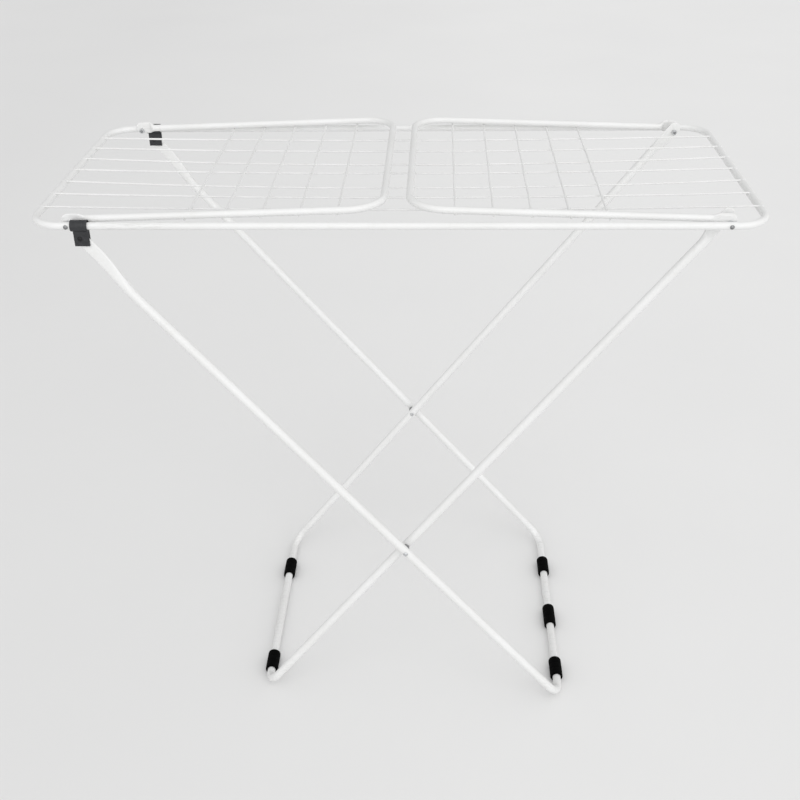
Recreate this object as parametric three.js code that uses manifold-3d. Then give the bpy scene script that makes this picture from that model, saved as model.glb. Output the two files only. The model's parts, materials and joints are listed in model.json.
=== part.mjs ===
// Folding clothes airer: a wired top frame on crossed tube legs, with two wired wings hinged on the
// frame's long rails. Millimetres, +Z up. The origin is on the floor under the middle of the frame.
// X runs along the frame, -Y is the near side and +Y the far side.
import * as THREE from 'three';
import { mergeVertices } from 'three/addons/utils/BufferGeometryUtils.js';
import Module from 'manifold-3d';

const wasm = await Module();
wasm.setup();

// ---- Driving dimensions ----
const GAP = 0.3;                 // air between pieces that touch
const FRAME_HEIGHT = 1000;       // floor to the axis of the frame's rails
const FRAME_HALF_LENGTH = 578;   // to the axis of the end rails
const FRAME_HALF_WIDTH = 261;    // to the axis of the long rails
const FRAME_BEND = 52;           // radius of the frame's corners, on the axis
const RAIL_RADIUS = 6.2;         // frame and wing tube
const LEG_RADIUS = 8;
const WIRE_RADIUS = 1.75;
const WELD_DEPTH = 1;            // how far a cross wire is sunk into the wing's arms
const WIRE_BED = 4.35;           // the lengthwise wires' axis, above that of the end rails they are let into
const WIRE_PITCH = 62;           // between the frame's lengthwise wires
const WIRE_SAGS = [6, 8, 13, 8, 13, 8, 6];   // dip of each wire at its middle, near to far

const WING_PIVOT_X = 515.5;      // wing hinges, from the middle of the frame
const WING_REACH = 495.5;        // pivot to the axis of the wing's end tube
const WING_HALF_WIDTH = 245;     // to the axis of the wing's arms
const WING_BEND = 58;
const WING_RISE = 5.5;           // the arm's axis stands this far above its pivot
const WING_REST_DEG = 1.9;       // slope of a folded wing, resting on the wires
const WING_WIRES = 5;
const WING_WIRE_FIRST = 183.5;   // pivot to the wire nearest it
const WING_WIRE_PITCH = 60;
const WING_TAB = { radius: 10.5, thickness: 2.6, flat: 15, flare: 12, rise: WING_RISE };

const INNER_LEG = {
  top: [WING_PIVOT_X, FRAME_HEIGHT],
  foot: [-271, 11.5],
  axisShift: -4.3,               // the tube's axis passes this far from the pivot, on its upper side
  halfWidth: 238.5,
  tabOffset: -8.5,               // the flat end stands this far inboard of the tube's axis
  tab: { radius: 10.7, thickness: 3, flat: 22, flare: 30, beyond: 17, rise: -4.3 },
  pads: [{ y: -174, length: 49 }, { y: 131, length: 52 }],
};
const OUTER_LEG = {
  top: [-496.5, 980],
  foot: [309.5, 11.5],
  axisShift: -8.8,               // the tube's axis passes this far below the pivot in the flat end
  halfWidth: FRAME_HALF_WIDTH,
  tabOffset: 0,
  tab: { radius: 10.2, thickness: 3, flat: 30, flare: 100, beyond: 10.2, rise: 0 },
  pads: [{ y: -184, length: 49 }, { y: -25, length: 58 }, { y: 146, length: 50 }],
};
const LEG_BEND = 34;
const CROSSING = [9, 367];       // axis of the pivot between the two legs, x and z
const SPACER_RADIUS = 6.5;

const SLEEVE_BORE = RAIL_RADIUS + 1.35;
const SLEEVE_WALL = 1.5;
const SLEEVE_LIFT = 0.5;         // the middle of the sleeve's bore lies this far above the rail's axis
const SLEEVE_LENGTH = 27;
const SLEEVE_SHIFT = 1.2;        // the sleeve's middle, from the rivet in its tab
const TAB_WIDTH = 24;            // its inner edge is flush with the sleeve's end
const TAB_BOTTOM = -33;          // below the rail's axis
const TAB_CHEEK = 2.4;           // thickness of each of the tab's two cheeks
const TAB_SLOT = 3.8;            // between the cheeks
const SLOT_ROOF = 0.5;           // plastic left between the slot and the sleeve
const SHOULDER_LIFT = 1;         // the step beside the tab, above the sleeve's lowest line
const THUMB_RADIUS = 9.5;        // hollow in the sleeve's free end
const THUMB_DEPTH = 2.6;

const PIN_RADIUS = 2.5;
const PIN_HOLE = 2.85;
const WASHER = { radius: 5.7, thickness: 2.8 };
const HINGE_SPACER_RADIUS = 4.6;  // between the right wing and the inner leg
const NUT = { radius: 5, thickness: 4.6 };
const PAD = { radius: 12.5, bore: LEG_RADIUS + GAP, edge: 1.4 };

const TUBE_SIDES = 14;
const WIRE_SIDES = 8;
const BEND_STEPS = 6;
const ROUND_STEPS = 20;        // round the sleeves, collars and fillets
const HOLE_SIDES = 14;

// ---- Finishes ----
function finish(color, roughness, metalness = 0) {
  return () => new THREE.MeshStandardMaterial({ color, roughness, metalness });
}

const powderCoat = finish(0xeeeeec, 0.38);
const zincPlate = finish(0xb9bcbe, 0.35, 0.9);
const blackSteel = finish(0x17181a, 0.45, 0.6);
const darkPlastic = finish(0x3c3e41, 0.55);
const greyPlastic = finish(0x9a9c9e, 0.55);
const blackRubber = finish(0x0e0e0f, 0.8);

// ---- Derived ----
const WIRE_HALF_LENGTH = FRAME_HALF_LENGTH + RAIL_RADIUS * 0.8;
const GROOVE_LENGTH = RAIL_RADIUS * 3;
const TAB_HALF = TAB_SLOT / 2 + TAB_CHEEK;
const wireY = (i) => WIRE_PITCH * (i - (WIRE_SAGS.length - 1) / 2);
// The wing's flat ends lie against the washers on the frame's rails.
const WING_TAB_OFFSET = FRAME_HALF_WIDTH - RAIL_RADIUS - WASHER.thickness - WING_TAB.thickness / 2
  - 2 * GAP - WING_HALF_WIDTH;

// ---- Solids ----
function toSolid(geometry) {
  const bare = geometry.clone();
  bare.deleteAttribute('normal');
  bare.deleteAttribute('uv');
  const merged = mergeVertices(bare, 1e-4);
  const vertProperties = new Float32Array(merged.attributes.position.array);
  const triVerts = new Uint32Array(merged.index.array);
  return new wasm.Manifold(new wasm.Mesh({ numProp: 3, vertProperties, triVerts }));
}

function toGeometry(solid) {
  const mesh = solid.getMesh();
  const geometry = new THREE.BufferGeometry();
  geometry.setAttribute('position', new THREE.BufferAttribute(mesh.vertProperties, 3));
  geometry.setIndex(new THREE.BufferAttribute(mesh.triVerts, 1));
  geometry.computeVertexNormals();
  return geometry;
}

function cut(geometry, cutters) {
  let solid = toSolid(geometry);
  for (const cutter of cutters) {
    solid = solid.subtract(toSolid(cutter));
  }
  return toGeometry(solid);
}

// A round bar across the object, along Y.
function crossBar(radius, length, x, y, z, sides = HOLE_SIDES) {
  const bar = new THREE.CylinderGeometry(radius, radius, length, sides);
  bar.translate(x, y, z);
  return bar;
}

// Skins rings of points into one closed body: a loop, or a bar with flat ends.
function skin(rings, isLoop) {
  const count = rings[0].length;
  const positions = rings.flat().flatMap((point) => [point.x, point.y, point.z]);
  const faces = [];
  const spans = isLoop ? rings.length : rings.length - 1;
  for (let i = 0; i < spans; i += 1) {
    const here = i * count;
    const next = ((i + 1) % rings.length) * count;
    for (let j = 0; j < count; j += 1) {
      const k = (j + 1) % count;
      faces.push(here + j, here + k, next + k);
      faces.push(here + j, next + k, next + j);
    }
  }
  if (!isLoop) {
    const last = (rings.length - 1) * count;
    for (let j = 1; j < count - 1; j += 1) {
      faces.push(0, j + 1, j);
      faces.push(last, last + j, last + j + 1);
    }
  }
  const geometry = new THREE.BufferGeometry();
  geometry.setAttribute('position', new THREE.Float32BufferAttribute(positions, 3));
  geometry.setIndex(faces);
  geometry.computeVertexNormals();
  return geometry;
}

// A tube along stations. Each has a point, its height along `up` and its width across it.
// A section that is much higher than it is wide is a pressed-flat tube with round edges.
function sweep(stations, up, sides, isLoop = false) {
  const last = stations.length - 1;
  const rings = stations.map((station, i) => {
    const before = stations[isLoop ? (i + last) % (last + 1) : Math.max(i - 1, 0)].point;
    const after = stations[isLoop ? (i + 1) % (last + 1) : Math.min(i + 1, last)].point;
    const along = after.clone().sub(before).normalize();
    const across = new THREE.Vector3().crossVectors(along, up).normalize();
    const upright = new THREE.Vector3().crossVectors(across, along).normalize();
    const roundness = 0.6 + 0.4 * Math.min(1, station.wide / station.high);
    return Array.from({ length: sides }, (_, j) => {
      const turn = ((j + 0.5) / sides) * Math.PI * 2;
      const high = Math.sign(Math.cos(turn)) * Math.abs(Math.cos(turn)) ** roundness * station.high;
      const wide = Math.sign(Math.sin(turn)) * Math.abs(Math.sin(turn)) ** roundness * station.wide;
      return station.point.clone().addScaledVector(upright, high).addScaledVector(across, wide);
    });
  });
  return skin(rings, isLoop);
}

const UP = new THREE.Vector3(0, 0, 1);
const smooth = (value) => THREE.MathUtils.smoothstep(value, 0, 1);

// Points of a quarter bend in the XY plane, from one angle to the other.
function bendPoints(centreX, centreY, radius, fromDeg, toDeg) {
  return Array.from({ length: BEND_STEPS + 1 }, (_, i) => {
    const angle = THREE.MathUtils.degToRad(fromDeg + ((toDeg - fromDeg) * i) / BEND_STEPS);
    return new THREE.Vector3(centreX + radius * Math.cos(angle), centreY + radius * Math.sin(angle), 0);
  });
}

// A U of tube in its own frame: pivots at x = 0, arms along +X, end tube across at x = reach.
// The arms' free ends are pressed flat into round-ended tabs.
function bentU({ reach, halfWidth, bend, radius, tab, tabOffset, rise }) {
  const thin = tab.thickness / 2;
  const beyond = tab.beyond ?? tab.radius;
  const roundCentre = tab.radius - beyond;
  const near = [];
  const addStation = (x, high, wide, round) => {
    const y = -(halfWidth + tabOffset * (1 - round));
    const z = THREE.MathUtils.lerp(tab.rise, rise, round);
    near.push({ point: new THREE.Vector3(x, y, z), high, wide });
  };
  for (let deg = 15; deg < 90; deg += 15) {
    const angle = THREE.MathUtils.degToRad(deg);
    addStation(roundCentre - tab.radius * Math.cos(angle), tab.radius * Math.sin(angle), thin, 0);
  }
  addStation(roundCentre, tab.radius, thin, 0);
  for (let i = 0; i <= BEND_STEPS; i += 1) {
    const round = smooth(i / BEND_STEPS);
    const high = THREE.MathUtils.lerp(tab.radius, radius, round);
    const wide = THREE.MathUtils.lerp(thin, radius, round);
    addStation(tab.flat + (tab.flare * i) / BEND_STEPS, high, wide, round);
  }
  for (const point of bendPoints(reach - bend, bend - halfWidth, bend, -90, 0)) {
    near.push({ point: point.setZ(rise), high: radius, wide: radius });
  }
  const far = near.map(({ point, high, wide }) => (
    { point: new THREE.Vector3(point.x, -point.y, point.z), high, wide }
  ));
  return sweep([...near, ...far.reverse()], UP, TUBE_SIDES);
}

// A headed pin along Y, its head outboard, drawn as a round profile. Lengths run inboard from 0.
function pin({ headRadius, headHeight, length, tailRadius = PIN_RADIUS, tailHeight = 0.4 }) {
  const profile = [new THREE.Vector2(0, headHeight)];
  for (let i = 1; i <= 4; i += 1) {
    const angle = (i / 4) * (Math.PI / 2);
    profile.push(new THREE.Vector2(headRadius * Math.sin(angle), headHeight * Math.cos(angle)));
  }
  profile.push(new THREE.Vector2(PIN_RADIUS, 0));
  profile.push(new THREE.Vector2(PIN_RADIUS, -length));
  profile.push(new THREE.Vector2(tailRadius, -length));
  profile.push(new THREE.Vector2(tailRadius * 0.7, -length - tailHeight));
  profile.push(new THREE.Vector2(0, -length - tailHeight));
  return new THREE.LatheGeometry(profile.reverse(), TUBE_SIDES);
}

// A ring round the Y axis, centred on y = 0.
function collar(outer, bore, length, edge, sides = ROUND_STEPS) {
  const half = length / 2;
  const outline = [
    [bore, -half], [outer - edge, -half], [outer, edge - half],
    [outer, half - edge], [outer - edge, half], [bore, half], [bore, -half],
  ];
  return new THREE.LatheGeometry(outline.map(([r, y]) => new THREE.Vector2(r, y)), sides);
}

function hexNut() {
  const outline = new THREE.Shape();
  for (let i = 0; i < 6; i += 1) {
    const angle = (i / 6) * Math.PI * 2;
    const corner = [NUT.radius * Math.cos(angle), NUT.radius * Math.sin(angle)];
    if (i === 0) {
      outline.moveTo(...corner);
    } else {
      outline.lineTo(...corner);
    }
  }
  outline.closePath();
  outline.holes.push(new THREE.Path().absarc(0, 0, PIN_HOLE, 0, Math.PI * 2, true));
  const nut = new THREE.ExtrudeGeometry(outline, {
    depth: NUT.thickness, bevelEnabled: false, curveSegments: TUBE_SIDES / 2,
  });
  nut.translate(0, 0, -NUT.thickness / 2);
  return nut.rotateX(Math.PI / 2);
}

// ---- Pieces ----
const rack = new THREE.Group();

function addMesh(parent, name, geometry, material, position = [0, 0, 0], isFar = false) {
  const mesh = new THREE.Mesh(geometry, material);
  mesh.name = name;
  mesh.position.set(...position);
  if (isFar) {
    mesh.rotation.z = Math.PI;
  }
  parent.add(mesh);
  return mesh;
}

// Puts the same piece on the near (-Y) and the far (+Y) side. `y` is the distance from the middle.
function addPair(parent, baseName, makeGeometry, makeMaterial, x, y, z) {
  addMesh(parent, `near_${baseName}`, makeGeometry(), makeMaterial(), [x, -y, z]);
  addMesh(parent, `far_${baseName}`, makeGeometry(), makeMaterial(), [x, y, z], true);
}

function mainFrameTube() {
  const cornerX = FRAME_HALF_LENGTH - FRAME_BEND;
  const cornerY = FRAME_HALF_WIDTH - FRAME_BEND;
  const path = [
    ...bendPoints(cornerX, cornerY, FRAME_BEND, 0, 90),
    ...bendPoints(-cornerX, cornerY, FRAME_BEND, 90, 180),
    ...bendPoints(-cornerX, -cornerY, FRAME_BEND, 180, 270),
    ...bendPoints(cornerX, -cornerY, FRAME_BEND, 270, 360),
  ];
  const stations = path.map((point) => ({ point, high: RAIL_RADIUS, wide: RAIL_RADIUS }));
  const cutters = [];
  for (const x of [-WING_PIVOT_X, WING_PIVOT_X]) {
    for (const y of [-FRAME_HALF_WIDTH, FRAME_HALF_WIDTH]) {
      cutters.push(crossBar(PIN_HOLE, RAIL_RADIUS * 3, x, y, 0));
    }
  }
  for (const way of [-1, 1]) {
    for (let i = 0; i < WIRE_SAGS.length; i += 1) {
      const groove = crossBar(WIRE_RADIUS + GAP, GROOVE_LENGTH, 0, 0, 0, WIRE_SIDES);
      groove.rotateZ(Math.PI / 2);
      groove.translate(way * (WIRE_HALF_LENGTH + GAP - GROOVE_LENGTH / 2), wireY(i), WIRE_BED);
      cutters.push(groove);
    }
  }
  return cut(sweep(stations, UP, TUBE_SIDES, true), cutters);
}

// One lengthwise wire, dipping at its middle. Its ends lie level in the grooves of the end rails.
function frameWire(sag) {
  const steps = 10;
  const dipHalfLength = FRAME_HALF_LENGTH - RAIL_RADIUS;
  const inner = Array.from({ length: steps + 1 }, (_, i) => {
    const along = (2 * i) / steps - 1;
    return [dipHalfLength * along, WIRE_BED - sag * (1 - along ** 2)];
  });
  const stations = [[-WIRE_HALF_LENGTH, WIRE_BED], ...inner, [WIRE_HALF_LENGTH, WIRE_BED]].map(([x, z]) => (
    { point: new THREE.Vector3(x, 0, z), high: WIRE_RADIUS, wide: WIRE_RADIUS }
  ));
  return sweep(stations, UP, WIRE_SIDES);
}

function addMainFrame() {
  const frame = new THREE.Group();
  frame.position.z = FRAME_HEIGHT;
  addMesh(frame, 'main_frame_tube', mainFrameTube(), powderCoat());
  WIRE_SAGS.forEach((sag, i) => {
    addMesh(frame, `main_wire_${i + 1}`, frameWire(sag), powderCoat(), [0, wireY(i), 0]);
  });
  const railOutside = FRAME_HALF_WIDTH + RAIL_RADIUS + GAP;
  const washerY = FRAME_HALF_WIDTH - RAIL_RADIUS - GAP - WASHER.thickness / 2;
  const wingTabInside = WING_HALF_WIDTH + WING_TAB_OFFSET - WING_TAB.thickness / 2;
  const legTabInside = INNER_LEG.halfWidth + INNER_LEG.tabOffset - INNER_LEG.tab.thickness / 2;
  for (const [side, x] of [['left', -WING_PIVOT_X], ['right', WING_PIVOT_X]]) {
    const stackInside = side === 'left' ? wingTabInside : legTabInside;
    const nutY = stackInside - GAP - NUT.thickness / 2;
    const length = railOutside - nutY + NUT.thickness / 2;
    const bolt = () => pin({ headRadius: 3.6, headHeight: 2.2, length }).rotateX(Math.PI);
    const washer = () => collar(WASHER.radius, PIN_HOLE, WASHER.thickness, 0.4, TUBE_SIDES);
    addPair(frame, `${side}_wing_bolt`, bolt, zincPlate, x, railOutside, 0);
    addPair(frame, `${side}_wing_washer`, washer, zincPlate, x, washerY, 0);
    addPair(frame, `${side}_wing_nut`, hexNut, zincPlate, x, nutY, 0);
  }
  const spacerLength = wingTabInside - legTabInside - INNER_LEG.tab.thickness - 2 * GAP;
  const spacer = () => collar(HINGE_SPACER_RADIUS, PIN_HOLE, spacerLength, 0.4, TUBE_SIDES);
  const spacerY = wingTabInside - GAP - spacerLength / 2;
  addPair(frame, 'right_hinge_spacer', spacer, zincPlate, WING_PIVOT_X, spacerY, 0);
  rack.add(frame);
}

function wingTube() {
  const tube = bentU({
    reach: WING_REACH, halfWidth: WING_HALF_WIDTH, bend: WING_BEND, radius: RAIL_RADIUS,
    tab: WING_TAB, tabOffset: WING_TAB_OFFSET, rise: WING_RISE,
  });
  const tabY = WING_HALF_WIDTH + WING_TAB_OFFSET;
  return cut(tube, [-tabY, tabY].map((y) => crossBar(PIN_HOLE, WING_TAB.thickness * 4, 0, y, 0)));
}

// One cross wire, bedded on the under side of the folded wing's two arms.
function wingWire() {
  const wire = crossBar(WIRE_RADIUS, 2 * (WING_HALF_WIDTH + RAIL_RADIUS * 0.3), 0, 0, 0, WIRE_SIDES);
  const armHeight = RAIL_RADIUS + WIRE_RADIUS - WELD_DEPTH;
  const arms = [-WING_HALF_WIDTH, WING_HALF_WIDTH].map((y) => {
    const arm = crossBar(RAIL_RADIUS + GAP, WIRE_RADIUS * 4, 0, 0, 0);
    return arm.rotateZ(Math.PI / 2).translate(0, y, armHeight);
  });
  return cut(wire, arms);
}

function addWing(side) {
  const hinge = new THREE.Group();
  const isLeft = side === 'left';
  hinge.position.set(isLeft ? -WING_PIVOT_X : WING_PIVOT_X, 0, FRAME_HEIGHT);
  hinge.rotation.z = isLeft ? 0 : Math.PI;
  const wing = new THREE.Group();
  wing.rotation.y = -THREE.MathUtils.degToRad(WING_REST_DEG);
  addMesh(wing, `${side}_wing_tube`, wingTube(), powderCoat());
  const wireZ = WING_RISE - (RAIL_RADIUS + WIRE_RADIUS - WELD_DEPTH);
  for (let i = 0; i < WING_WIRES; i += 1) {
    const x = WING_WIRE_FIRST + WING_WIRE_PITCH * i;
    addMesh(wing, `${side}_wing_wire_${i + 1}`, wingWire(), powderCoat(), [x, 0, wireZ]);
  }
  hinge.add(wing);
  rack.add(hinge);
}

// Where a leg's pivots lie in its own frame, whose +X runs down the leg from its top pivot.
function legFrame({ top, foot, axisShift }) {
  const dx = foot[0] - top[0];
  const dz = foot[1] - top[1];
  const span = Math.hypot(dx, dz);
  const angle = Math.atan2(-dz, dx) + Math.asin(axisShift / span);
  const toLocal = ([x, z]) => {
    const east = x - top[0];
    const north = z - top[1];
    return {
      along: east * Math.cos(angle) - north * Math.sin(angle),
      above: east * Math.sin(angle) + north * Math.cos(angle),
    };
  };
  return { angle, reach: toLocal(foot).along, crossing: toLocal(CROSSING) };
}

function legTube(leg) {
  const { reach, crossing } = legFrame(leg);
  const tube = bentU({
    reach, halfWidth: leg.halfWidth, bend: LEG_BEND, radius: LEG_RADIUS,
    tab: leg.tab, tabOffset: leg.tabOffset, rise: leg.axisShift,
  });
  const tabY = leg.halfWidth + leg.tabOffset;
  const holes = [];
  for (const way of [-1, 1]) {
    holes.push(crossBar(PIN_HOLE, leg.tab.thickness * 4, 0, way * tabY, 0));
    holes.push(crossBar(PIN_HOLE, LEG_RADIUS * 3, crossing.along, way * leg.halfWidth, crossing.above));
  }
  return cut(tube, holes);
}

// A rubber sleeve on a foot bar, worn flat where it stands on the floor.
function footPad(length, barHeight) {
  const floor = new THREE.BoxGeometry(PAD.radius * 4, length * 2, PAD.radius);
  floor.translate(0, 0, -barHeight - PAD.radius / 2);
  return cut(collar(PAD.radius, PAD.bore, length, PAD.edge), [floor]);
}

function addLeg(name, leg) {
  const hinge = new THREE.Group();
  hinge.position.set(leg.top[0], 0, leg.top[1]);
  hinge.rotation.y = legFrame(leg).angle;
  addMesh(hinge, `${name}_leg_tube`, legTube(leg), powderCoat());
  rack.add(hinge);
  leg.pads.forEach(({ y, length }, i) => {
    const [footX, footZ] = leg.foot;
    addMesh(rack, `${name}_leg_pad_${i + 1}`, footPad(length, footZ), blackRubber(), [footX, y, footZ]);
  });
}

function addCrossing() {
  const [x, z] = CROSSING;
  const outside = OUTER_LEG.halfWidth + LEG_RADIUS + GAP;
  const inside = INNER_LEG.halfWidth - LEG_RADIUS - GAP;
  const outerFace = OUTER_LEG.halfWidth - LEG_RADIUS - GAP;
  const innerFace = INNER_LEG.halfWidth + LEG_RADIUS + GAP;
  const rivet = () => pin({
    headRadius: 4.4, headHeight: 1.9, length: outside - inside, tailRadius: 3.8, tailHeight: 1.5,
  }).rotateX(Math.PI);
  const spacer = () => collar(SPACER_RADIUS, PIN_HOLE, outerFace - innerFace, 0.8);
  addPair(rack, 'crossing_rivet', rivet, zincPlate, x, outside, z);
  addPair(rack, 'crossing_spacer', spacer, greyPlastic, x, (outerFace + innerFace) / 2, z);
}

// A sleeve that slides on the long rail, with a two-cheeked tab under it for the outer leg's end.
function slidingClip() {
  const outer = SLEEVE_BORE + SLEEVE_WALL;
  const outline = new THREE.Shape();
  const shoulder = Math.asin(TAB_HALF / outer);
  outline.moveTo(-TAB_HALF, TAB_BOTTOM);
  outline.lineTo(TAB_HALF, TAB_BOTTOM);
  outline.absarc(0, 0, outer, shoulder - Math.PI / 2, 1.5 * Math.PI - shoulder, false);
  outline.closePath();
  outline.holes.push(new THREE.Path().absarc(0, 0, SLEEVE_BORE, 0, Math.PI * 2, true));
  const body = new THREE.ExtrudeGeometry(outline, {
    depth: SLEEVE_LENGTH, bevelEnabled: false, curveSegments: ROUND_STEPS / 2,
  });
  body.translate(0, 0, -SLEEVE_LENGTH / 2);
  body.rotateX(Math.PI / 2).rotateZ(Math.PI / 2);
  const slotTop = -outer - SLOT_ROOF;
  const slot = new THREE.BoxGeometry(SLEEVE_LENGTH * 2, TAB_SLOT, -TAB_BOTTOM);
  slot.translate(0, 0, slotTop + TAB_BOTTOM / 2);
  const shoulderZ = -outer + SHOULDER_LIFT;
  const waste = new THREE.BoxGeometry(SLEEVE_LENGTH, outer * 4, -TAB_BOTTOM);
  waste.translate(-TAB_WIDTH, 0, shoulderZ + TAB_BOTTOM / 2);
  const thumb = crossBar(THUMB_RADIUS, outer * 4, SLEEVE_LENGTH / 2 + THUMB_RADIUS - THUMB_DEPTH, 0, 0);
  const holeZ = OUTER_LEG.top[1] - FRAME_HEIGHT - SLEEVE_LIFT;
  const hole = crossBar(PIN_HOLE, TAB_HALF * 4, -SLEEVE_SHIFT, 0, holeZ);
  return cut(body, [slot, waste, thumb, hole]);
}

function addClips() {
  const rivetX = OUTER_LEG.top[0];
  const clipX = rivetX + SLEEVE_SHIFT;
  const headY = FRAME_HALF_WIDTH + TAB_HALF + GAP;
  const rivet = () => pin({
    headRadius: 3.9, headHeight: 1.6, length: 2 * (TAB_HALF + GAP), tailRadius: 3.6, tailHeight: 1.2,
  }).rotateX(Math.PI);
  const clipZ = FRAME_HEIGHT + SLEEVE_LIFT;
  addMesh(rack, 'near_clip', slidingClip(), darkPlastic(), [clipX, -FRAME_HALF_WIDTH, clipZ]);
  addMesh(rack, 'far_clip', slidingClip(), darkPlastic(), [clipX, FRAME_HALF_WIDTH, clipZ]);
  addPair(rack, 'clip_rivet', rivet, blackSteel, rivetX, headY, OUTER_LEG.top[1]);
}

addMainFrame();
addWing('left');
addWing('right');
addLeg('inner', INNER_LEG);
addLeg('outer', OUTER_LEG);
addCrossing();
addClips();

export default rack;
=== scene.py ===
"""Visual model of the folding clothes airer: fine meshes and procedural finishes on the CAD frame."""
import json
import math

import bpy
from mathutils import Matrix, Vector, noise


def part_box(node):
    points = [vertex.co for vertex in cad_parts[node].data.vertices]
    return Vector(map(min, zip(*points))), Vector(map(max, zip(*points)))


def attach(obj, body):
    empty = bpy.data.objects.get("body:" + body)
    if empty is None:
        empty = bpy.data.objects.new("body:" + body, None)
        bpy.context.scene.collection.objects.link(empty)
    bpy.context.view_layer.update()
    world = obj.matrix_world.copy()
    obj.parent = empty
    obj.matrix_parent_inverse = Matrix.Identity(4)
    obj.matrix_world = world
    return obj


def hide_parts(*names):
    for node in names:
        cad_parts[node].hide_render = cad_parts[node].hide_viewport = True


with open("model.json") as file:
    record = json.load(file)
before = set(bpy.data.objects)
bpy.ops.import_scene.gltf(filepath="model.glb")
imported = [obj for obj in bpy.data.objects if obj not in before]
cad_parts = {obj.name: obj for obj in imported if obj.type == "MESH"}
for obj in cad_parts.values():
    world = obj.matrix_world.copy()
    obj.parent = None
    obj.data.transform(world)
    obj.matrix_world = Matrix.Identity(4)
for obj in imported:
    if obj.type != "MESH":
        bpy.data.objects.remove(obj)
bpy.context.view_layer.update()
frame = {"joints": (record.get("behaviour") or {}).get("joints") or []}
MM = 0.001
UP = Vector((0, 0, 1))


def millimetres(**sizes):
    """Named sizes, given in millimetres, as a dictionary in metres."""
    return {key: size * MM for key, size in sizes.items()}


# ---- Sizes that a box can't give ----
CAD_RAIL_RADIUS = 6.2 * MM
CAD_WIRE_TOP = 1.617 * MM        # from the axis of the CAD's wire to its top
RAIL_RADIUS = 6.09 * MM          # the round tubes stay in the box of the CAD's many-sided ones
LEG_RADIUS = 7.9 * MM
WIRE_RADIUS = 1.72 * MM
FRAME_BEND = 52 * MM
WING_BEND = 58 * MM
LEG_BEND = 34 * MM
WING_RISE = 5.5 * MM             # from a wing's pivot to the axis of its arms
WING_INSET = 16 * MM             # from the axis of a long rail to that of a wing's arm
INNER_LEG_RISE = -4.3 * MM       # from a leg's pivot to the axis of its tube
OUTER_LEG_RISE = -8.8 * MM
INNER_HALF_WIDTH = 238.5 * MM
INNER_TAB_Y = 230 * MM
WING_TAB = millimetres(radius=10.5, thickness=2.6, flat=15, flare=12, beyond=10.5, rise=5.5)
INNER_TAB = millimetres(radius=10.7, thickness=3, flat=22, flare=30, beyond=17, rise=-4.3)
OUTER_TAB = millimetres(radius=10.2, thickness=3, flat=30, flare=100, beyond=10.2, rise=0)
FRAME_WIRES = range(1, 8)
WING_WIRES = range(1, 6)
FRAME_WIRE_WAVER = 0.35 * MM     # how far a wire strays sideways from a straight line
WING_WIRE_WAVER = 0.25 * MM
FRAME_WELD = Vector((3.2, 3.2, 1.9)) * MM
FRAME_WELD_SINK = 1.5 * MM       # base of a weld below the top of the rail
WING_WELD = Vector((2.7, 2.3, 2.0)) * MM
WING_WELD_SINK = 2.1 * MM        # base of a weld above the axis of the wing's wire

CLIP_BORE = 7.55 * MM
CLIP_OUTER = 9.05 * MM
CLIP_TAB_WIDTH = 24 * MM
CLIP_TAB_HALF = 4.3 * MM
CLIP_SLOT_HALF = 1.9 * MM
CLIP_SLOT_ROOF = 0.5 * MM        # plastic left between the slot and the sleeve
CLIP_SHOULDER = 1 * MM           # the step beside the tab, above the sleeve's lowest line
CLIP_THUMB_RADIUS = 9.5 * MM     # hollow in the sleeve's free end
CLIP_THUMB_CENTRE = 6.9 * MM     # its centre, beyond that end
CLIP_HOLE_RADIUS = 2.9 * MM
CLIP_VOXEL = 0.42 * MM
CLIP_RELAX_STEPS = 5
CUT_PAST = 10 * MM               # how far a cutter runs past the clip
CUT_HALF = 30 * MM               # half the length of a cutter that goes across it

HINGE_BOLT = millimetres(head_radius=3.6, head_height=2.2, tail_radius=2.5, tail_height=0.4, hollow=0)
LEG_RIVET = millimetres(head_radius=4.4, head_height=1.9, tail_radius=3.8, tail_height=1.5, hollow=1.9)
TAB_RIVET = millimetres(head_radius=3.9, head_height=1.6, tail_radius=3.6, tail_height=1.2, hollow=1.7)
SHANK_RADIUS = 2.5 * MM
WASHER_BORE = 2.7 * MM
WASHER_EDGE = 0.35 * MM
SPACER_BORE = 2.75 * MM
SPACER_EDGE = 0.9 * MM
NUT_BORE = 2.6 * MM
PAD_BORE = 8.1 * MM
FLOOR_CLEARANCE = 0.02 * MM

TUBE_SIDES = 32
WIRE_SIDES = 14
BEND_STEPS = 18
ROUND_STEPS = 48

# ---- Camera, floor and light, in metres ----
CAMERA_PLACE = (0.068, -1.8921, 1.6331)
CAMERA_PITCH = 30.062            # degrees below level
CAMERA_YAW = -2.287
CAMERA_ROLL = -0.851
CAMERA_LENS = 50.24
CAMERA_SENSOR = 36
FLOOR_SPAN = 24.0
FLOOR_SHIFT = 3                  # further away than the middle
SUN_DIRECTION = Vector((-0.12, 0.80, -0.59))
SUN_ENERGY = 0.66
SUN_SPREAD = 70                  # degrees
SKY_LEVEL = 0.94
SKY_TILT = (0.16, -0.34, -0.12)  # how much brighter the surroundings are along each axis

JOINTS = {joint["name"]: joint for joint in frame["joints"]}


def joint_point(name):
    return Vector(JOINTS[name]["pos_m"])


def middle(node):
    low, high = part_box(node)
    return (low + high) / 2


# ---- Node materials ----
MIX_FACTOR, MIX_FIRST, MIX_SECOND, MIX_RESULT = 0, 6, 7, 2   # sockets of a colour mix


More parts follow.
